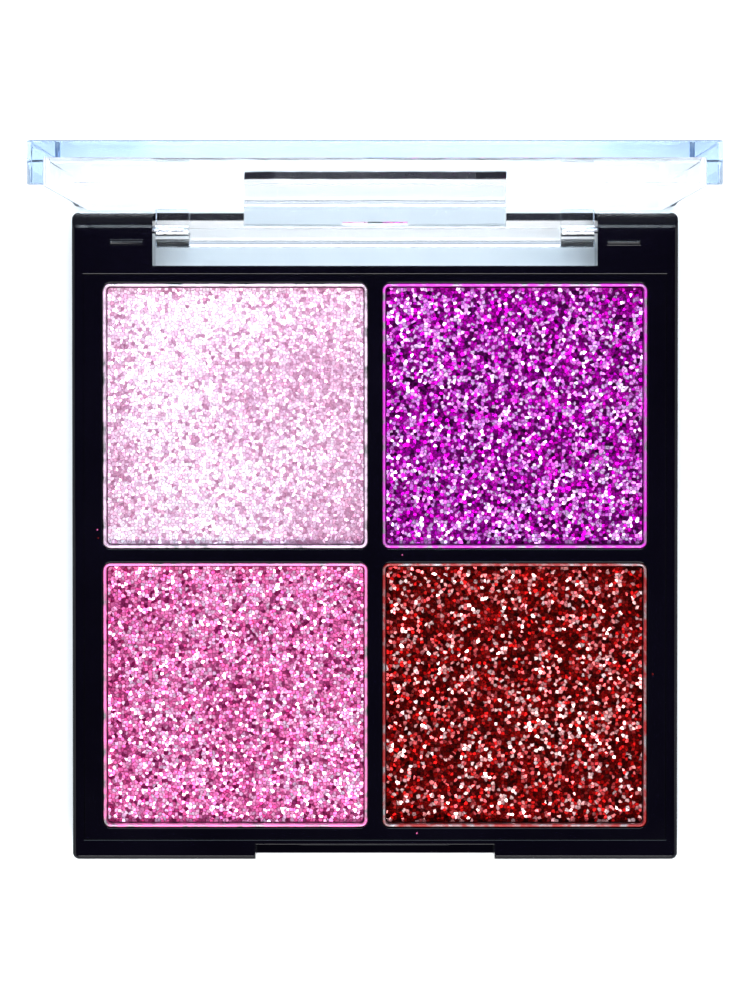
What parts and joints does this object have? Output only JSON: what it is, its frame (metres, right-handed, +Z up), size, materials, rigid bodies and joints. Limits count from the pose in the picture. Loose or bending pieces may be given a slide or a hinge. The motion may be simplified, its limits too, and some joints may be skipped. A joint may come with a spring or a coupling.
{
  "type": "eyeshadow palette",
  "caption": "Square pocket eyeshadow palette: black case with recessed metal pans of pressed glitter and a clear hinged lid that stands open at a right angle.",
  "frame": {"origin": "middle of the base's underside, on the surface that the palette stands on", "axes": "+X to the right as the user sees it, +Y to the rear where the hinge is, +Z up"},
  "size_m": [0.065, 0.074, 0.0735],
  "materials": {
    "black_plastic": "gloss",
    "black_frame_plastic": "gloss",
    "clear_plastic": "polished",
    "steel": "satin",
    "label_paper": "matte",
    "glue": "matte",
    "pan_aluminium": "satin",
    "glitter_pale_pink": "satin",
    "glitter_magenta_violet": "satin",
    "glitter_pink": "satin",
    "glitter_dark_red": "satin"
  },
  "bodies": {
    "base": {"base_shell": "black_plastic", "pan_frame": "black_frame_plastic", "hinge_pin_left": "steel", "hinge_pin_right": "steel", "underside_label": "label_paper", "glue_dot_back_left": "glue", "glue_dot_back_right": "glue", "glue_dot_front_left": "glue", "glue_dot_front_right": "glue", "pan_back_left": "pan_aluminium", "pan_back_right": "pan_aluminium", "pan_front_left": "pan_aluminium", "pan_front_right": "pan_aluminium", "powder_back_left": "glitter_pale_pink", "powder_back_right": "glitter_magenta_violet", "powder_front_left": "glitter_pink", "powder_front_right": "glitter_dark_red"},
    "lid": {"lid": "clear_plastic"}
  },
  "joints": [
    {"name": "lid_hinge", "type": "hinge", "parent": "base", "child": "lid", "pos_m": [0, 0.0329, 0.0052], "axis": [1, 0, 0], "range_deg": [0, 90]}
  ]
}
